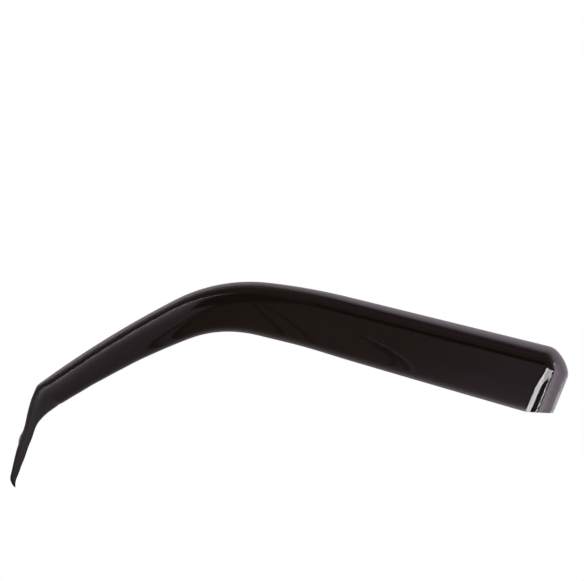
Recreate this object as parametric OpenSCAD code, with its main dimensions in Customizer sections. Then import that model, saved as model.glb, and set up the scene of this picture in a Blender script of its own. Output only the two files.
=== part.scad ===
// Wind deflector for a front side window: one moulded sheet of smoked acrylic.
// A thin flat flange slides into the door's glass channel along the windscreen pillar, the roof
// and the rear post. From it the sheet thickens and steps outwards over a ridge into the long
// crowned visor face, which thins again to a free lower edge. A narrow tongue runs down the front
// of the glass.
//
// Frame: +Z up, +X to the rear of the car, -Y outwards. The origin lies on the glass side of the
// flange, in the middle of the roof run and halfway down the flange there.

/* [Sheet] */
// Thickness of the wall and of the visor face
sheet_t = 3; // [2:0.1:4]
// Thickness of the flange, which shares the channel with the glass
flange_t = 1.5; // [1.2:0.1:2]
// Thickness of the flange where it meets the wall
root_t = 2; // [1.5:0.1:2.5]
// Thickness of the flange at its outer edge, where it enters the channel
lead_in_t = 1.1; // [0.8:0.1:1.2]
// Width of the bevelled strip along the flange's outer edge
lead_in_w = 6; // [2:0.5:8]
// Thickness at the free edge
free_edge_t = 1.6; // [1.2:0.1:2]
// Radius of the side glass that the sheet follows below the roof flange
glass_r = 1800; // [1200:50:6000]

/* [Roof run] */
// Straight length in front of the origin
roof_front = 147; // [100:1:220]
// Straight length behind the origin
roof_rear = 152.8; // [100:0.1:220]
// Width of the flange at the front of the run
roof_flange_front = 9; // [8:0.1:14]
// Width of the flange at the rear of the run
roof_flange_rear = 12.4; // [9:0.1:16]
// Width of the wall between the flange and the visor face
roof_wall = 17.4; // [14:0.1:22]
// How far the ridge stands out from the flange
roof_step = 9.4; // [8:0.1:14]
// How much further the free edge stands out than the ridge
roof_rise = 2; // [1:0.1:8]
// Height of the visor at the front of the run
roof_height_front = 87.5; // [75:0.5:110]
// Height of the visor at the rear of the run
roof_height_rear = 100.5; // [80:0.5:120]
// Inside radius of the ridge
roof_ridge_r = 7; // [4:0.1:8]
// Radius of the fillet at the foot of the wall
roof_foot_r = 5; // [1:0.1:6]

/* [Brow and shoulder] */
// Length of the gentle curve in front of the roof run
brow_length = 118; // [80:1:150]
// Angle that the brow turns
brow_turn = 7.4; // [3:0.1:12]
// Height of the visor where the brow meets the shoulder
brow_height = 78.5; // [65:0.5:90]
// Length of the main bend between roof and pillar
shoulder_length = 139.5; // [110:0.5:180]
// Angle that the shoulder turns
shoulder_turn = 33.6; // [20:0.1:40]

/* [Pillar run] */
// Length along the windscreen pillar
pillar_length = 233.5; // [160:0.5:320]
// Angle that the pillar run turns over its length
pillar_turn = 9; // [2:0.1:14]
// Width of the flange
pillar_flange = 5.5; // [4:0.1:9]
// Width of the wall between the flange and the visor face
pillar_wall = 5.8; // [5:0.1:9]
// How far the ridge stands out from the flange
pillar_step = 7; // [4:0.1:9]
// How much further the free edge stands out than the ridge at the front corner
pillar_rise = 4; // [1:0.1:6]
// How much further the free edge stands out than the ridge at the shoulder
shoulder_rise = 5; // [1:0.1:7]
// Height of the visor where the shoulder starts
pillar_height_rear = 59.5; // [50:0.5:72]
// Height of the visor halfway along
pillar_height_mid = 48; // [42:0.5:60]
// Height of the visor at the front corner
pillar_height_front = 43.5; // [36:0.5:50]
// Inside radius of the ridge
pillar_ridge_r = 0.5; // [0.2:0.1:2]
// Radius of the fillet at the foot of the wall
pillar_foot_r = 1.2; // [0.5:0.1:2]

/* [Tongue] */
// Length of the front corner's curve
corner_length = 9; // [6:0.5:16]
// Angle that the front corner turns
corner_turn = 38; // [25:0.1:50]
// Length between the front corner and the nib
neck_length = 62; // [45:1:80]
// Height of the visor halfway along the neck
neck_height = 20.5; // [16:0.5:26]
// Angle that the tongue leans forward below the neck
tongue_lean = 8; // [2:0.5:12]
// Length of the slope above the point of the nib
nib_upper = 17; // [8:0.5:20]
// Length of the slope below the point of the nib
nib_lower = 7.5; // [5:0.5:14]
// How far the nib stands forward
nib_out = 3.3; // [1:0.1:4]
// Straight length below the nib
tongue_lower = 23.5; // [15:0.5:45]
// Length of the curve that closes the tip
tip_length = 43; // [30:1:50]
// Angle that the tip curve turns
tip_turn = 47.3; // [35:0.1:55]
// Width of the tongue at the nib
tongue_width = 14.2; // [12:0.1:18]
// Width of the bare tip
tip_width = 2.6; // [2.2:0.1:4]
// Width of the flange along the neck
neck_flange = 1; // [0.5:0.1:2]
// Width of the flange below the nib
tongue_flange = 2; // [1:0.1:3]
// Width of the wall beside the flange
tongue_wall = 4.4; // [3.8:0.1:6]
// How far the ridge stands out at the nib
tongue_step = 3; // [1:0.1:4]

/* [Rear end] */
// Length of the first curve of the upper rear corner
rear_curve_top = 13; // [6:0.1:18]
// Angle that the first curve turns
rear_turn_top = 31; // [20:0.5:40]
// Length of the long middle curve
rear_curve_mid = 35; // [25:0.5:45]
// Angle that the middle curve turns
rear_turn_mid = 35; // [25:0.5:45]
// Length of the last curve
rear_curve_low = 9.5; // [6:0.1:16]
// Angle of the rear edge from upright, lower end forward
rear_lean = 8.1; // [0:0.1:14]
// Straight length of the rear edge
rear_length = 56; // [45:0.5:75]
// Radius of the lower rear corner
rear_corner_r = 2.5; // [1:0.1:5]
// Width of the rear flange
rear_flange = 23.2; // [18:0.1:26]
// Thickness of the rear flange where its shoulder starts
rear_root_t = 1.6; // [1.5:0.1:2.5]
// Width of the level strip between the rear flange's shoulder and the wall
rear_shelf = 2.4; // [0.5:0.1:4]
// Width of the rear wall at the free edge
rear_wall_low = 17.4; // [14:0.1:24]
// Inside radius of the rear ridge
rear_ridge_r = 10.1; // [3:0.1:12]
// Radius of the fillet at the foot of the rear wall
rear_foot_r = 2; // [1:0.1:4]
// How far the lower cut of the rear end bows down
rear_cut_bow = 0.8; // [0:0.1:4]

/* [Hidden] */

// Stretches of the outer edge, from the tip of the tongue round to the lower rear corner.
// Each is [length, turn, steps]; the edge turns clockwise where the turn is negative.
rear_turn_low = 90 + rear_lean - rear_turn_top - rear_turn_mid;
EDGE = [
    [tip_length, -tip_turn, 8],
    [tongue_lower, 0, 5],
    [nib_lower, 0, 3],
    [nib_upper, tongue_lean, 4],
    [neck_length, brow_turn + shoulder_turn + pillar_turn + corner_turn - 90, 11],
    [corner_length, -corner_turn, 5],
    [pillar_length, -pillar_turn, 22],
    [shoulder_length, -shoulder_turn, 16],
    [brow_length, -brow_turn, 9],
    [roof_front + roof_rear, 0, 18],
    [rear_curve_top, -rear_turn_top, 4],
    [rear_curve_mid, -rear_turn_mid, 5],
    [rear_curve_low, -rear_turn_low, 4],
    [rear_length - rear_corner_r, 0, 7],
    [rear_corner_r, 0, 3]
];
TIP = 0;
TONGUE = TIP + 1;
NIB = TONGUE + 2;
NECK = NIB + 1;
CORNER = NECK + 1;
PILLAR = CORNER + 1;
SHOULDER = PILLAR + 1;
BROW = SHOULDER + 1;
ROOF = BROW + 1;
REAR_CORNER = ROOF + 1;
REAR = REAR_CORNER + 3;
REAR_END = REAR + 1;

function total(values, n) = n == 0 ? 0 : values[n - 1] + total(values, n - 1);
LENGTHS = [for (s = EDGE) s[0]];
TURNS = [for (s = EDGE) s[1]];
STEPS = [for (s = EDGE) s[2]];
// Distance along the edge, and number of stations, at the start of a stretch
function mark(stretch) = total(LENGTHS, stretch);
function station(stretch) = total(STEPS, stretch);

LAST_COLUMN = station(REAR_CORNER);
FIRST_REAR = station(REAR);
LAST = station(len(EDGE));
ROWS = STEPS[REAR];
FOOT_STEPS = 3;
RIDGE_STEPS = 4;

// Half the flange's width at the origin
z_top = (roof_flange_front + roof_flange_rear) / 4;
// Depth below the top edge at which the flat roof flange passes into the glass's curve
flat_depth = roof_flange_rear;
// Reach of the blends between one run's sizes and the next's, and samples on each side of a blend
size_blend = 16;
column_blend = 48;
BLEND_STEPS = 4;
// Section at the very tip: widths of flange and wall, and the last of the step and the rise
tip_flange = 0.4;
tip_wall = 1.4;
tip_step = 0.2;
tip_rise = 0.1;
// Rise of the face along the tongue
tongue_rise = 1;
// Length behind the front corner over which the flange reaches its full width
corner_flange_run = 30;
// Share of the flange that the thinned strip may take where the flange is narrow
lead_in_share = 0.6;
// Shoulder over which the flange thickens to the wall's thickness, as a share of the flange, and
// the most that it takes along the roof and at the rear end
root_share = 0.15;
root_w = 1.2;
rear_root_w = 0.4;
// Width of the level strip between the shoulder and the wall along the roof
shelf = 0.3;
// Share of the last column's lean that the ridge takes at the rear corner
ridge_lean_share = 0.65;
// Share of the largest fillets that would still leave some straight wall between them
fillet_share = 0.9;

function direction(angle) = [cos(angle), sin(angle)];
function unit(v) = v / norm(v);

// Where a curve of one stretch is after some length and turn
function along_arc(at, heading, length, turn) =
    let (chord = turn == 0 ? length : 2 * length / turn * 180 / PI * sin(turn / 2))
    at + chord * direction(heading + turn / 2);

// Stations of the edge as [point, heading, distance]
function walk(at, heading, i = 0) =
    i == len(EDGE) ? [] :
    let (length = LENGTHS[i], turn = TURNS[i], steps = STEPS[i])
    concat(
        [for (k = [1:steps])
            let (part = k / steps)
            [along_arc(at, heading, length * part, turn * part), heading + turn * part, mark(i) + length * part]],
        walk(along_arc(at, heading, length, turn), heading + turn, i + 1));

// The walk starts at the tip and is then moved so that the roof run lies at its place
START_HEADING = -total(TURNS, ROOF);
RAW = concat([[[0, 0], START_HEADING, 0]], walk([0, 0], START_HEADING));
SHIFT = [-roof_front, z_top] - RAW[station(ROOF)][0];

// A size along the edge: straight between its marks and blended over a reach each way, which
// shrinks to nothing at the tip
function soft(table, distance, reach) =
    let (samples = [for (k = [-1:1 / BLEND_STEPS:1]) lookup(distance + min(reach, distance) * k, table)])
    total(samples, len(samples)) / len(samples);
function size(table, i) = soft(table, RAW[i][2], size_blend);

function ease(q) = q * q * (3 - 2 * q);
// How far the nib pushes the edge forward at a distance along it
function nib(distance) =
    let (q = distance < mark(NIB) ? (distance - mark(NIB) + nib_lower) / nib_lower
                                  : (mark(NIB) + nib_upper - distance) / nib_upper)
    nib_out * ease(max(0, min(1, q)));

// How far the rounding of the lower rear corner takes the edge back
function rounding(distance) =
    let (rest = max(0, distance - mark(REAR_END)))
    rear_corner_r - sqrt(rear_corner_r * rear_corner_r - rest * rest);

// How far the outer edge stands out from its line of stretches at a station
function standing(i) = nib(RAW[i][2]) - rounding(RAW[i][2]);
function heading(i) = RAW[i][1];
function inward(i) = direction(heading(i) - 90);
function edge(i) = RAW[i][0] + SHIFT - standing(i) * inward(i);

FLANGE = [
    [mark(TIP), tip_flange], [mark(TONGUE), tongue_flange], [mark(NIB), tongue_flange],
    [mark(NECK), neck_flange], [mark(CORNER), neck_flange],
    [mark(PILLAR), (neck_flange + 2 * pillar_flange) / 3],
    [mark(PILLAR) + corner_flange_run, pillar_flange], [mark(SHOULDER), pillar_flange],
    [mark(ROOF), roof_flange_front], [mark(REAR_CORNER), roof_flange_rear]
];
WALL = [
    [mark(TIP), tip_wall], [mark(TONGUE), tongue_wall], [mark(CORNER), tongue_wall],
    [mark(PILLAR), pillar_wall], [mark(SHOULDER), pillar_wall], [mark(BROW), (pillar_wall + roof_wall) / 2],
    [mark(ROOF), roof_wall], [mark(REAR_CORNER), roof_wall]
];
STEP = [
    [mark(TIP), tip_step], [mark(TONGUE), tongue_step], [mark(NECK), tongue_step],
    [mark(PILLAR), pillar_step], [mark(SHOULDER), pillar_step],
    [mark(ROOF), roof_step], [mark(REAR_CORNER), roof_step]
];
RISE = [
    [mark(TIP), tip_rise], [mark(NECK), tongue_rise], [mark(PILLAR), pillar_rise],
    [mark(SHOULDER), shoulder_rise], [mark(ROOF), roof_rise], [mark(REAR_CORNER), roof_rise]
];
RIDGE_R = [
    [mark(SHOULDER), pillar_ridge_r], [mark(ROOF), roof_ridge_r], [mark(REAR_CORNER), roof_ridge_r],
    [mark(REAR), rear_ridge_r]
];
ROOT_T = [[mark(REAR_CORNER), root_t], [mark(REAR), rear_root_t]];
ROOT_W = [[mark(REAR_CORNER), root_w], [mark(REAR), rear_root_w]];
SHELF = [[mark(REAR_CORNER), shelf], [mark(REAR), rear_shelf]];
FOOT_R = [
    [mark(SHOULDER), pillar_foot_r], [mark(ROOF), roof_foot_r], [mark(REAR_CORNER), roof_foot_r],
    [mark(REAR), rear_foot_r]
];

// The part of the tongue's width that its front edge leaves at a share q of the tip curve, so
// that the free edge runs straight to the tip
function tip_share(q) = 1 - (1 - cos(tip_turn * (1 - q))) / (1 - cos(tip_turn));
HEIGHT = concat(
    [for (q = [0:0.25:1]) [tip_length * q, tip_width + (tongue_width - tip_width) * tip_share(q)]],
    [
        [mark(NECK), tongue_width], [mark(NECK) + neck_length / 2, neck_height],
        [mark(CORNER), pillar_height_front], [mark(PILLAR), pillar_height_front],
        [mark(PILLAR) + pillar_length / 2, pillar_height_mid], [mark(SHOULDER), pillar_height_rear],
        [mark(BROW), brow_height], [mark(ROOF), roof_height_front], [mark(REAR_CORNER), roof_height_rear]
    ]);

// Where the rear ridge meets the free edge, and how far the last column leans to reach it
rear_low_x = (edge(FIRST_REAR) - [0, z_top])[0]
    - (roof_height_rear + edge(FIRST_REAR)[1] - z_top) * tan(rear_lean)
    - (rear_flange + rear_wall_low) / cos(rear_lean);
last_lean = atan((edge(LAST_COLUMN)[0] - rear_low_x) / roof_height_rear);
COLUMN = concat(
    [for (s = [TIP:ROOF]) [mark(s), START_HEADING + total(TURNS, max(s, TONGUE)) - 90]],
    [[mark(REAR_CORNER), -90 - last_lean]]);

// The ridge point leans towards the rear corner as well
RIDGE_LEAN = [[mark(REAR_CORNER) - column_blend, 0], [mark(REAR_CORNER), ridge_lean_share * last_lean]];

// Plan of the visor face: its ridge point, its free edge and a point between them
function column_direction(i) = direction(soft(COLUMN, RAW[i][2], column_blend));
function ridge_direction(i) = direction(heading(i) - 90 - lookup(RAW[i][2], RIDGE_LEAN));
RIDGE = [for (i = [0:LAST_COLUMN])
    edge(i) + (size(FLANGE, i) + size(WALL, i) + standing(i)) * ridge_direction(i)];
FREE = [for (i = [0:LAST_COLUMN]) edge(i) + (size(HEIGHT, i) + standing(i)) * column_direction(i)];

// The face rises from the ridge as half a parabola and is level at the free edge
function face_slope(i, q) = 2 * size(RISE, i) * (1 - q) / norm(FREE[i] - RIDGE[i]);
function face_depth(i, q) = sheet_t + size(STEP, i) + size(RISE, i) * q * (2 - q);
function face_plan(i, q) = RIDGE[i] + q * (FREE[i] - RIDGE[i]);

// Wraps a point of the flat pattern, at a depth outwards from the glass, round the glass
function wrap(plan, depth) =
    let (below = z_top - flat_depth - plan[1])
    below <= 0 ? [plan[0], -depth, plan[1]] :
    let (angle = below / glass_r * 180 / PI, r = glass_r + depth)
    [plan[0], glass_r - r * cos(angle), z_top - flat_depth - r * sin(angle)];

// Thickness of the face at a share q, which the last row of the grid takes down to the free edge's
function face_t(q) = q < 1 ? sheet_t : free_edge_t;
// The two skins of the face, at a share q of the way from the ridge to the free edge
function face_point(i, q, inside) =
    let (slope = atan(face_slope(i, q)), down = unit(FREE[i] - RIDGE[i]), t = inside ? face_t(q) : 0)
    wrap(face_plan(i, q) + t * sin(slope) * down, face_depth(i, q) - t * cos(slope));

// Section from the outer edge up to the ridge, as [distance inwards, depth]. Two fillets join a
// straight wall to the flange and to the face. The glass side is inside; foot gives the flange's
// thickness, the shoulder's width and the level strip's width, and top_t is the ridge's thickness.
function section(flange, wall, step, slope, foot_r, ridge_r, foot, top_t, inside) =
    let (room = (wall * wall + step * step) / (2 * step) - sheet_t,
         share = min(1, fillet_share * room / (foot_r + ridge_r)),
         hollow = foot_r * share,
         ridge = ridge_r * share + sheet_t,
         run = wall + ridge * sin(slope),
         climb = step + ridge * (1 - cos(slope)),
         both = hollow + ridge,
         wall_angle = asin(both / norm([run, both - climb])) - atan2(both - climb, run),
         foot_centre = [flange, sheet_t + hollow],
         ridge_centre = [flange + run, sheet_t + step - ridge * cos(slope)],
         thin_w = min(lead_in_w, lead_in_share * flange),
         level_w = min(foot[2], root_share * flange),
         thick_w = min(foot[1], root_share * flange))
    concat(
        [[0, inside ? 0 : lead_in_t], [thin_w, inside ? 0 : flange_t],
         [flange - level_w - thick_w, inside ? 0 : foot[0]], [flange - level_w, inside ? 0 : sheet_t]],
        [for (k = [0:FOOT_STEPS])
            let (a = wall_angle * k / FOOT_STEPS, t = inside ? 0 : sheet_t)
            foot_centre + (hollow + sheet_t - t) * [sin(a), -cos(a)]],
        [for (k = [0:RIDGE_STEPS - 1])
            let (a = wall_angle + (slope - wall_angle) * k / RIDGE_STEPS,
                 t = inside ? sheet_t + (top_t - sheet_t) * k / RIDGE_STEPS : 0)
            ridge_centre + (ridge - t) * [-sin(a), cos(a)]]);

// The row of the last column that a station's section ends at: the ridge corner until the rear
// edge, and the free edge round the lower corner
function rear_row(i) = min(ROWS, max(0, i - FIRST_REAR));
function ridge_plan(i) = i <= LAST_COLUMN ? RIDGE[i] : face_plan(LAST_COLUMN, rear_row(i) / ROWS);

// Points of one station's section on one skin, without the ridge point that the face holds
function ring(i, inside) =
    let (column = min(i, LAST_COLUMN),
         q = rear_row(i) / ROWS,
         reach = ridge_plan(i) - edge(i),
         way = unit(reach),
         rear_share = (i - LAST_COLUMN) / (FIRST_REAR - LAST_COLUMN),
         straight = size(FLANGE, i) + (rear_flange - size(FLANGE, i)) * ease(max(0, min(1, rear_share))),
         flange = (straight + standing(i)) / (way * inward(i)),
         slope = atan(face_slope(column, q) * (way * unit(FREE[column] - RIDGE[column]))),
         points = section(flange, norm(reach) - flange, face_depth(column, q) - sheet_t, slope,
                          size(FOOT_R, i), size(RIDGE_R, i),
                          [size(ROOT_T, i), size(ROOT_W, i), size(SHELF, i)], face_t(q), inside),
         bow = rear_cut_bow * q)
    [for (p = points)
        wrap(edge(i) + p[0] * way + bow * sin(180 * min(1, p[0] / norm(reach))) * direction(heading(i)), p[1])];

RING = 4 + FOOT_STEPS + 1 + RIDGE_STEPS;
RINGS = (LAST + 1) * RING;
SKIN = RINGS + (LAST_COLUMN + 1) * (ROWS + 1);
function skin_points(inside) = concat(
    [for (i = [0:LAST]) each ring(i, inside)],
    [for (i = [0:LAST_COLUMN], j = [0:ROWS]) face_point(i, j / ROWS, inside)]);

// Numbers of a ring's points; the point after its last is the face's
function face_at(i, j) = RINGS + i * (ROWS + 1) + j;
function ring_at(i, k) =
    k < RING ? i * RING + k : i <= LAST_COLUMN ? face_at(i, 0) : face_at(LAST_COLUMN, rear_row(i));

// Four corners as two triangles, or one where b and c are the same point
function two_triangles(a, b, c, d) = concat(b == c ? [] : [[a, c, b]], [[a, d, c]]);
OUTSIDE = concat(
    [for (i = [0:LAST - 1], k = [0:RING - 1])
        each two_triangles(ring_at(i, k), ring_at(i, k + 1), ring_at(i + 1, k + 1), ring_at(i + 1, k))],
    [for (i = [0:LAST_COLUMN - 1], j = [0:ROWS - 1])
        each two_triangles(face_at(i, j), face_at(i, j + 1), face_at(i + 1, j + 1), face_at(i + 1, j))]);

// Once round the border of a skin: outer edge, rear cut, free edge and tip
BORDER = concat(
    [for (i = [0:LAST]) ring_at(i, 0)],
    [for (k = [1:RING - 1]) ring_at(LAST, k)],
    [for (i = [LAST_COLUMN:-1:0]) face_at(i, ROWS)],
    [for (j = [ROWS - 1:-1:0]) face_at(0, j)],
    [for (k = [RING - 1:-1:1]) ring_at(0, k)]);

module deflector() {
    color([0.16, 0.14, 0.15])
        polyhedron(
            points = concat(skin_points(false), skin_points(true)),
            faces = concat(
                OUTSIDE,
                [for (f = OUTSIDE) [f[0] + SKIN, f[2] + SKIN, f[1] + SKIN]],
                [for (k = [0:len(BORDER) - 1])
                    let (a = BORDER[k], b = BORDER[(k + 1) % len(BORDER)])
                    each two_triangles(a, b, b + SKIN, a + SKIN)]));
}

deflector();
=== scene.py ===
"""Looks of a smoked acrylic wind deflector for a front side window, around its fixed CAD frame."""

import math

import bmesh
import bpy
from mathutils import Matrix, Vector


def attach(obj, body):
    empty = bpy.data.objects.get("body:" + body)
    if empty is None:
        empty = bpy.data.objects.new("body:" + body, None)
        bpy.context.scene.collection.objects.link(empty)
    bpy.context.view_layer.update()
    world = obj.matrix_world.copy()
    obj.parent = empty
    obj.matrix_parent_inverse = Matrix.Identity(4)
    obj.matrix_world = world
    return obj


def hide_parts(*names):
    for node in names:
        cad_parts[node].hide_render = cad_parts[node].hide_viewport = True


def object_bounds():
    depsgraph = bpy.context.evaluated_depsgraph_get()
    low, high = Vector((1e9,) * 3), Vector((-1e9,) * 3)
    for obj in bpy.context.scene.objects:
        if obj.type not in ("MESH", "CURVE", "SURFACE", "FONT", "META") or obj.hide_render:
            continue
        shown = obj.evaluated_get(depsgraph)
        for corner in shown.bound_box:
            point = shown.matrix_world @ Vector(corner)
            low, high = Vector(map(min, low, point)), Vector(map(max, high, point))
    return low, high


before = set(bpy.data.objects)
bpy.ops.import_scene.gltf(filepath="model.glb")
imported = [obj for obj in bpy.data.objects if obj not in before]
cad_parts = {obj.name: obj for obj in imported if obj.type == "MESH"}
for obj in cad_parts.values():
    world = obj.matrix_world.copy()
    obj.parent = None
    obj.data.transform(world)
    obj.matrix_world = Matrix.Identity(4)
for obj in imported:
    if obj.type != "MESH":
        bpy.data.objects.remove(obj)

bl_info = {
    "name": "Smoked window deflector",
    "version": (1, 0, 0),
    "blender": (4, 5, 0),
    "location": "View3D > Sidebar > Deflector",
    "description": "Builds a side window wind deflector of smoked acrylic and its photo studio",
    "category": "Object",
}

CAD_NODE = "deflector"
CAD_BOX = [list(corner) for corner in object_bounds()]
LOW, HIGH = (Vector(corner) for corner in CAD_BOX)

# The photograph: its size in pixels, the metres that one pixel shows at the part, and the pixel
# at which the top of the flange lies in the middle of the roof run
PICTURE_WIDTH, PICTURE_HEIGHT = 584, 581
PIXEL = 0.00145
ROOF_PIXEL = (446.9, 321.1)

# The side glass is upright down to this height, and bends below it with a radius of 1.8 m
GLASS_BEND_TOP = -0.007
GLASS_BEND_RADIUS = 1.8

# Places on the part at which the lamps and cloths are aimed
REAR_END = Vector((0.16, 0.0, -0.06))
ROOF = Vector((0.0, 0.0, -0.03))
FRONT_FOOT = Vector((-0.5, 0.0, -0.25))

BLACK = (0.0, 0.0, 0.0, 1.0)
WHITE = (1.0, 1.0, 1.0, 1.0)

# Small pulls that ease the outline of the neck and the tongue, in metres:
# the centre's X and Z, the radius, and how far the sheet moves there along X and Z
FOOT_PULLS = (
    (-0.560, -0.256, 0.029, -0.0028, -0.0007),
    (-0.557, -0.285, 0.029, -0.0024, -0.0006),
    (-0.559, -0.315, 0.029, -0.0030, -0.0007),
    (-0.557, -0.345, 0.026, -0.0011, -0.0003),
    (-0.549, -0.377, 0.023, -0.0036, -0.0009),
    (-0.538, -0.289, 0.023, -0.0007, -0.0002),
    (-0.573, -0.334, 0.020, -0.0044, -0.0011),
    (-0.573, -0.355, 0.020, -0.0054, -0.0013),
    (-0.569, -0.372, 0.020, -0.0062, -0.0015),
    (-0.497, -0.227, 0.023, -0.0003, 0.0013),
    (-0.480, -0.209, 0.023, -0.0003, 0.0013),
    (-0.441, -0.174, 0.032, 0.0002, -0.0008),
    (-0.525, -0.253, 0.010, -0.0001, 0.0003),
    (-0.516, -0.244, 0.010, 0.0002, -0.0009),
    (-0.508, -0.236, 0.010, 0.0, 0.0002),
)


class Socket:
    """An output socket that can be used in arithmetic, which adds Math nodes."""

    def __init__(self, tree, socket):
        self.tree = tree
        self.socket = socket

    def _math(self, operation, *values):
        return self.tree.node("ShaderNodeMath", {"operation": operation}, values)["Value"]

    def __add__(self, other):
        return self._math("ADD", self, other)

    def __sub__(self, other):
        return self._math("SUBTRACT", self, other)

    def __rsub__(self, other):
        return self._math("SUBTRACT", other, self)

    def __mul__(self, other):
        return self._math("MULTIPLY", self, other)

    def __truediv__(self, other):
        return self._math("DIVIDE", self, other)

    def __pow__(self, other):
        return self._math("POWER", self, other)

    def __rpow__(self, other):
        return self._math("POWER", other, self)

    def __neg__(self):
        return self * -1.0

    __radd__ = __add__
    __rmul__ = __mul__

    def larger(self, other):
        return self._math("MAXIMUM", self, other)

    def smaller(self, other):
        return self._math("MINIMUM", self, other)

    def size(self):
        return self._math("ABSOLUTE", self)

    def clamped(self):
        return self.tree.node("ShaderNodeClamp", {}, {"Value": self})["Result"]


class Tree:
    """A node tree that is filled by naming a node's type, its settings and its sockets."""

    def __init__(self, owner):
        owner.use_nodes = True
        self.nodes = owner.node_tree.nodes
        self.links = owner.node_tree.links
        self.nodes.clear()

    def node(self, kind, settings=None, inputs=()):
        """Adds a node. inputs are given by socket name or, in a list, by order."""
        new = self.nodes.new(kind)
        for name, value in (settings or {}).items():
            setattr(new, name, value)
        pairs = inputs.items() if isinstance(inputs, dict) else enumerate(inputs)
        for key, value in pairs:
            if isinstance(value, Socket):
                self.links.new(value.socket, new.inputs[key])
            else:
                new.inputs[key].default_value = value
        return {out.name: Socket(self, out) for out in new.outputs if out.enabled}

    def mixed(self, share, first, second):
        """A colour between two colours"""
        return self.node(
            "ShaderNodeMix", {"data_type": "RGBA"}, {0: share, 6: first, 7: second})["Result"]

    def place(self):
        """Where a point lies on its object, as a vector and as its three axes"""
        vector = self.node("ShaderNodeTexCoord")["Object"]
        return vector, self.node("ShaderNodeSeparateXYZ", {}, [vector])

    def noise(self, place, scale, detail):
        return self.node(
            "ShaderNodeTexNoise", {}, {"Vector": place, "Scale": scale, "Detail": detail})["Fac"]

    def glow(self, colour, level):
        return self.node(
            "ShaderNodeEmission", {}, {"Color": colour, "Strength": level})["Emission"]

    def seen(self):
        """1 for rays that see a surface, by themselves or in gloss or through the sheet"""
        ray = self.node("ShaderNodeLightPath")
        mirrored = ray["Is Camera Ray"].larger(ray["Is Glossy Ray"])
        return mirrored.larger(ray["Is Transmission Ray"])

    def output(self, surface, volume=None, kind="ShaderNodeOutputMaterial"):
        sockets = {"Surface": surface}
        if volume:
            sockets["Volume"] = volume
        self.node(kind, {}, sockets)


def new_object(name, shape, material):
    """Turns a bmesh into an object of the scene."""
    mesh = bpy.data.meshes.new(name)
    shape.to_mesh(mesh)
    shape.free()
    mesh.materials.append(material)
    piece = bpy.data.objects.new(name, mesh)
    bpy.context.scene.collection.objects.link(piece)
    return piece


def flat_panel(name, centre, facing, width, height, material, roll=0.0):
    """A rectangle in the studio, at a place, turned so that its front faces a point."""
    centre, facing = Vector(centre), Vector(facing)
    front = (facing - centre).normalized()
    turn = front.to_track_quat("Z", "Y").to_matrix().to_4x4() @ Matrix.Rotation(roll, 4, "Z")
    shape = bmesh.new()
    bmesh.ops.create_grid(shape, x_segments=1, y_segments=1, size=0.5)
    bmesh.ops.scale(shape, vec=(width, height, 1.0), verts=shape.verts)
    bmesh.ops.transform(shape, matrix=Matrix.Translation(centre) @ turn, verts=shape.verts)
    panel = new_object(name, shape, material)
    return panel


def only_in_reflections(panel):
    panel.visible_camera = False
    panel.visible_diffuse = False
    panel.visible_transmission = False
    panel.visible_shadow = False


def glowing(name, colour, level):
    """An evenly glowing cloth of a colour"""
    material = bpy.data.materials.new(name)
    tree = Tree(material)
    tree.output(tree.glow((*colour, 1.0), level))
    return material


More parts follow.
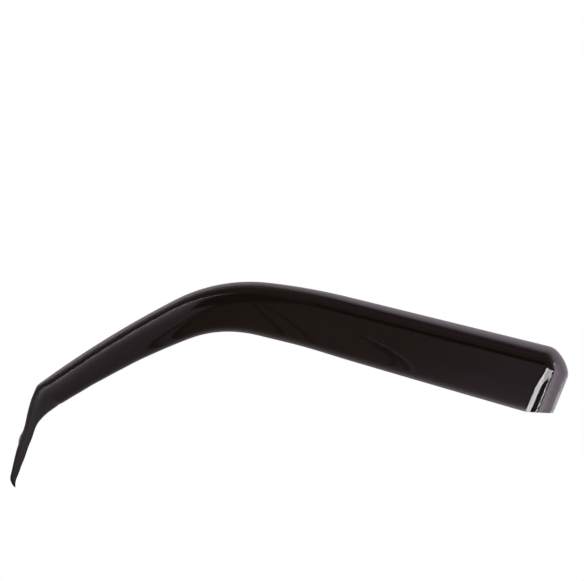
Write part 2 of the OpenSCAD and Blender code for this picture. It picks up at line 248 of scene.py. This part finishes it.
def front_cloth():
    """The dim cloth in front of the sheet, as the sheet's face mirrors it.

    It has a lit left end, a round for the lens with a dark brow over it, and fine arcs.
    """
    material = bpy.data.materials.new("front_cloth")
    tree = Tree(material)
    axes = tree.place()[1]
    x, z = axes["X"], axes["Z"]

    def inside(across, up, radius):
        """How far a place lies inside a circle on the cloth"""
        return radius - ((x - across) ** 2 + (z - up) ** 2) ** 0.5

    def line(depth, width):
        """1 on a circle's rim, falling to 0 at a width to either side"""
        return (1.0 - depth.size() * (1.0 / width)).clamped()

    def left_of(across):
        """Grows quickly to the left of a place, and ends an arc there"""
        return (across - x).larger(0.0) * 25.0

    brown = (0.10, 0.08, 0.05, 1.0)
    dim = (0.17, 0.14, 0.12, 1.0)
    grey = (0.28, 0.225, 0.28, 1.0)
    mauve = (0.42, 0.34, 0.43, 1.0)
    lit = (4.2, 3.64, 4.06, 1.0)
    table = (0.5, 0.44, 0.48, 1.0)
    lens_round = inside(-0.15, 0.10, 0.85)
    halo = inside(-0.30, 0.02, 0.81)

    # The round for the lens, which goes on to the right as the rest of the cloth
    middle = tree.mixed(((x + 0.6) * 2.0).clamped(), brown, dim)
    left_rim = (1.0 - lens_round * 9.0).clamped() * (x * -4.0 - 1.0).clamped()
    middle = tree.mixed(left_rim, middle, BLACK)
    middle = tree.mixed(((x - 0.12) * 2.9).clamped(), middle, grey)
    for arc, width in (
            (inside(-2.53, -0.54, 2.33), 0.013),
            (inside(-3.77, -1.04, 3.73), 0.011),
            (inside(-0.30, -0.30, 0.42) + left_of(0.05), 0.017),
            (inside(-0.60, -0.40, 0.76) + left_of(0.0), 0.016)):
        middle = tree.mixed(line(arc, width), middle, BLACK)
    middle = tree.mixed(line(inside(-0.60, -0.39, 0.78) + left_of(0.03), 0.012), middle, mauve)

    # The left side, which grows lighter to its end, with a halo round the lens
    near_halo = (halo * 60.0).clamped() * (1.0 - halo * 8.0).clamped()
    side = tree.mixed(near_halo, grey, brown)
    rise = (-2.0 - x + (z - 0.2).larger(0.0) - (-1.3 - z).larger(0.0)) * 3.3
    side = tree.mixed((0.071 * 2.718 ** rise).clamped(), side, lit)
    side = tree.mixed(line(halo, 0.04), side, BLACK)

    colour = tree.mixed((lens_round * 60.0 + 0.5).clamped(), side, middle)
    low_right = (x * 2.0).clamped() * (-z * 2.0).clamped()
    colour = tree.mixed(low_right, colour, mauve)
    brow_height = (z - 0.62 - (x + 0.1).larger(0.0) * 0.6) * 25.0
    brow = brow_height.clamped() * ((x + 1.3) * 12.0).clamped() * ((1.1 - x) * 12.0).clamped()
    colour = tree.mixed(brow, colour, BLACK)
    colour = tree.mixed((-1.5 - z).clamped(), colour, table)
    tree.output(tree.glow(colour, 1.0))
    return material


class DeflectorSheet(bpy.types.PropertyGroup):
    """Sizes and colours of the smoked sheet"""

    edge_round: bpy.props.FloatProperty(
        name="Edge rounding", description="Radius polished onto the cut edges",
        default=0.0004, min=0.0001, max=0.0005, subtype="DISTANCE", unit="LENGTH")
    sharp_angle: bpy.props.FloatProperty(
        name="Sharp angle", description="Edges sharper than this are cut edges, and are rounded",
        default=math.radians(60), subtype="ANGLE")
    smoke: bpy.props.FloatVectorProperty(
        name="Smoke",
        description="Light that the sheet takes out, per metre, in red, green and blue",
        default=(1420.0, 1530.0, 1440.0), size=3)
    # Colour of a painted shade that darkens the raised face, standing for the shadow behind the
    # sheet
    painted_shade: bpy.props.FloatVectorProperty(
        name="Tint", description="Deeper tint of the face, where it stands out from the glass",
        default=(0.55, 0.52, 0.31), size=3, subtype="COLOR")
    refraction: bpy.props.FloatProperty(
        name="Refractive index", description="Refractive index of the acrylic", default=1.49)
    polish: bpy.props.FloatProperty(
        name="Polish", description="Roughness of the clean moulded surface",
        default=0.01, min=0.0, max=0.3, subtype="FACTOR")
    dullness: bpy.props.FloatProperty(
        name="Dull edges", description="Roughness that cut edges and the pillar's fold add",
        default=0.29, min=0.0, max=1.0, subtype="FACTOR")


class DeflectorStudio(bpy.types.PropertyGroup):
    """Camera, background and lamps"""

    roll: bpy.props.FloatProperty(
        name="Roll", description="Turn of the part in the picture",
        default=math.radians(13.8), subtype="ANGLE")
    distance: bpy.props.FloatProperty(
        name="Camera distance", description="From the camera to the flange",
        default=4.0, unit="LENGTH")
    picture_scale: bpy.props.FloatProperty(
        name="Picture width", description="Width of what the picture shows at the part",
        default=PICTURE_WIDTH * PIXEL, unit="LENGTH")
    softbox_level: bpy.props.FloatProperty(
        name="Softbox level", description="Brightness of the softbox at the rear end",
        default=14.0)
    ambient: bpy.props.FloatProperty(
        name="Ambient level", description="Light of the room on matt surfaces", default=0.8)


def smoked_acrylic(values):
    """Smoke-tinted acrylic: clear, with its darkness from how thick it is, and a painted shade
    that darkens the face where it stands out from the glass.
    """
    material = bpy.data.materials.new("smoked_acrylic")
    tree = Tree(material)
    place, axes = tree.place()
    cloud = tree.noise(place, 18.0, 4.0)
    ripple = tree.noise(place, 55.0, 1.0)
    rim = tree.node("ShaderNodeAttribute", {"attribute_name": "rim"})["Fac"]
    # How far a place stands out from the side glass, whose bend is close to a parabola
    below = (axes["Z"] - GLASS_BEND_TOP).smaller(0.0)
    depth = below ** 2 / (2.0 * GLASS_BEND_RADIUS) - axes["Y"]
    # The flange and the tight fold along the pillar are duller than along the roof, and get a
    # share of the painted shade below, which darkens them
    fold = ((0.0115 - depth) * 500.0).clamped() * ((-0.14 - axes["X"]) * 10.0).clamped()
    # Painted shade: a deeper tint where the face stands out from the glass, standing for the
    # shadow behind the raised sheet. It starts past the flange and fades out down the tongue
    body = ((depth - 0.003) / 0.005).larger(fold * 0.55)
    # Cut edges and the free edge are left out of the painted shade, a painted light where light
    # reaches under them
    body = body.smaller((axes["Z"] + 0.29) / 0.04).clamped() * (1.0 - rim)
    bump = tree.node(
        "ShaderNodeBump", {}, {"Strength": 0.01, "Distance": 0.001, "Height": ripple})["Normal"]
    surface = tree.node("ShaderNodeBsdfPrincipled", {}, {
        "Base Color": tree.mixed(body, WHITE, (*values.painted_shade, 1.0)),
        "Roughness": values.polish + cloud * 0.015 + rim.larger(fold) * values.dullness,
        "IOR": values.refraction,
        "Transmission Weight": 1.0,
        "Normal": bump,
    })["BSDF"]
    density = max(values.smoke)
    volume = tree.node("ShaderNodeVolumeAbsorption", {}, {
        "Color": tuple(1.0 - value / density for value in values.smoke) + (1.0,),
        "Density": density,
    })["Volume"]
    tree.output(surface, volume)
    return material


def ease_foot(shape):
    """Pulls the neck and the tongue to the photograph's outline, inside the CAD model's box."""
    for point in shape.verts:
        start_x, _, start_z = point.co
        for centre_x, centre_z, radius, move_x, move_z in FOOT_PULLS:
            away = (start_x - centre_x) ** 2 + (start_z - centre_z) ** 2
            hold = 1.0 - away / radius ** 2
            if hold > 0.0:
                point.co.x += move_x * hold ** 2
                point.co.z += move_z * hold ** 2
        point.co.x = max(point.co.x, LOW.x)
        point.co.z = max(point.co.z, LOW.z)


def rounded_copy(values):
    """The CAD sheet as one closed shape, with its cut edges rounded and its folds smooth."""
    shape = bmesh.new()
    shape.from_mesh(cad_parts[CAD_NODE].data)
    bmesh.ops.remove_doubles(shape, verts=shape.verts, dist=0.00001)
    ease_foot(shape)
    bmesh.ops.join_triangles(
        shape, faces=shape.faces, cmp_seam=False, cmp_sharp=False, cmp_uvs=False,
        cmp_vcols=False, cmp_materials=False, angle_face_threshold=math.radians(40),
        angle_shape_threshold=math.radians(180))
    cut_edges = [
        edge for edge in shape.edges if edge.calc_face_angle(0.0) > values.sharp_angle]
    rim = set(cut_edges)
    on_rim = shape.verts.layers.float.new("rim")
    for point in shape.verts:
        point[on_rim] = float(any(edge in rim for edge in point.link_edges))
    bmesh.ops.bevel(
        shape, geom=cut_edges, offset=values.edge_round, offset_type="OFFSET", affect="EDGES",
        segments=2, profile=0.5, material=-1, clamp_overlap=True)
    for face in shape.faces:
        face.smooth = True
    return shape


class DEFLECTOR_OT_sheet(bpy.types.Operator):
    """Make the smoked sheet in place of the plain CAD body"""

    bl_idname = "deflector.sheet"
    bl_label = "Smoked sheet"

    def execute(self, context):
        values = context.scene.deflector_sheet
        sheet = new_object("smoked_sheet", rounded_copy(values), smoked_acrylic(values))
        smooth = sheet.modifiers.new("smooth_bends", "SUBSURF")
        smooth.levels = smooth.render_levels = 2
        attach(sheet, "root")
        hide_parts(CAD_NODE)
        return {"FINISHED"}


class DEFLECTOR_OT_stage(bpy.types.Operator):
    """Set up the camera, the white background, the floor and the lamps"""

    bl_idname = "deflector.stage"
    bl_label = "Photo studio"

    def execute(self, context):
        values = context.scene.deflector_studio
        self.make_camera(context.scene, values)
        self.make_world(context.scene, values)
        self.make_floor()
        self.make_lights(values)
        context.scene.view_settings.view_transform = "Standard"
        return {"FINISHED"}

    def make_camera(self, scene, values):
        """A camera that puts the part at its place in the photograph's frame."""
        camera = bpy.data.objects.new("camera", bpy.data.cameras.new("camera"))
        scene.collection.objects.link(camera)
        camera.data.sensor_fit = "HORIZONTAL"
        camera.data.sensor_width = 36.0
        camera.data.lens = camera.data.sensor_width * values.distance / values.picture_scale
        camera.data.clip_end = 50.0
        scale = values.picture_scale / PICTURE_WIDTH
        across = PICTURE_WIDTH / 2 - ROOF_PIXEL[0]
        up = ROOF_PIXEL[1] - PICTURE_HEIGHT / 2
        turn = Matrix.Rotation(-values.roll, 4, "Y")
        aim = turn @ Vector((across * scale, 0.0, up * scale)) + Vector((0.0, 0.0, HIGH.z))
        camera.matrix_world = (
            Matrix.Translation(aim + Vector((0.0, -values.distance, 0.0)))
            @ turn @ Matrix.Rotation(math.radians(90), 4, "X"))
        scene.camera = camera

    def make_world(self, scene, values):
        """A room that is plain white where it is seen, and lights matt surfaces softly."""
        world = bpy.data.worlds.new("studio")
        scene.world = world
        tree = Tree(world)
        level = values.ambient + tree.seen() * (1.0 - values.ambient)
        light = tree.node("ShaderNodeBackground", {}, {"Color": WHITE, "Strength": level})
        tree.output(light["Background"], kind="ShaderNodeOutputWorld")

    def make_floor(self):
        """A pale floor far below, white where it is seen but for a trace of shadow."""
        material = bpy.data.materials.new("pale_floor")
        tree = Tree(material)
        seen = tree.seen()
        paint = tree.node("ShaderNodeBsdfDiffuse", {}, {"Color": (0.85, 0.85, 0.85, 1.0)})
        white = tree.glow(WHITE, 1.0)
        tree.output(
            tree.node("ShaderNodeMixShader", {}, [seen * 0.85, paint["BSDF"], white])["Shader"])
        flat_panel(
            "pale_floor", (-0.2, 0.0, LOW.z - 2.2), (-0.2, 0.0, 1.0), 3.0, 3.0, material)

    def make_lights(self, values):
        """Cloths and lamps that only the gloss of the sheet shows."""
        tent = bmesh.new()
        bmesh.ops.create_icosphere(tent, subdivisions=3, radius=8.0)
        bmesh.ops.reverse_faces(tent, faces=tent.faces)
        shell = new_object("dim_tent", tent, glowing("dim_cloth", (0.14, 0.11, 0.075), 1.0))
        only_in_reflections(shell)
        only_in_reflections(flat_panel(
            "front_cloth", (-0.1, -4.2, -0.9), (-0.1, 0.0, -0.9), 7.2, 6.2, front_cloth()))
        white = (1.0, 0.96, 0.985)
        grey = (0.42, 0.37, 0.38)
        black = (0.0, 0.0, 0.0)
        bright = values.softbox_level
        # Each is seen from a spot on the part, at a bearing and a height in degrees
        for name, spot, bearing, height_angle, distance, width, height, roll, colour, level in (
                ("rear_softbox", REAR_END, 47, -11.8, 2.2, 3.0, 0.76, 0, white, bright),
                ("rear_card", REAR_END, 88, -5.2, 2.2, 0.72, 0.2, -9, white, bright * 0.5),
                ("foot_cloth", FRONT_FOOT, -92, -17, 3.0, 6.4, 2.4, 0, grey, 1.0),
                ("roof_gap", ROOF, 5, 46, 5.0, 1.1, 3.7, 0, black, 0.0)):
            turn = math.radians(bearing)
            rise = math.radians(height_angle)
            way = Vector((
                math.sin(turn) * math.cos(rise), -math.cos(turn) * math.cos(rise),
                math.sin(rise)))
            only_in_reflections(flat_panel(
                name, spot + distance * way, spot, width, height,
                glowing(name, colour, level), math.radians(roll)))


class DEFLECTOR_PT_panel(bpy.types.Panel):
    """Buttons and sizes of the deflector"""

    bl_idname = "DEFLECTOR_PT_panel"
    bl_label = "Window deflector"
    bl_space_type = "VIEW_3D"
    bl_region_type = "UI"
    bl_category = "Deflector"

    def draw(self, context):
        for group in (context.scene.deflector_sheet, context.scene.deflector_studio):
            box = self.layout.box()
            for name in group.__annotations__:
                box.prop(group, name)
        self.layout.operator(DEFLECTOR_OT_sheet.bl_idname)
        self.layout.operator(DEFLECTOR_OT_stage.bl_idname)


CLASSES = (
    DeflectorSheet, DeflectorStudio, DEFLECTOR_OT_sheet, DEFLECTOR_OT_stage, DEFLECTOR_PT_panel)


def register():
    for cls in CLASSES:
        bpy.utils.register_class(cls)
    bpy.types.Scene.deflector_sheet = bpy.props.PointerProperty(type=DeflectorSheet)
    bpy.types.Scene.deflector_studio = bpy.props.PointerProperty(type=DeflectorStudio)


def unregister():
    del bpy.types.Scene.deflector_studio
    del bpy.types.Scene.deflector_sheet
    for cls in reversed(CLASSES):
        bpy.utils.unregister_class(cls)


def main():
    register()
    bpy.ops.deflector.sheet()
    bpy.ops.deflector.stage()


if __name__ == "__main__":
    main()
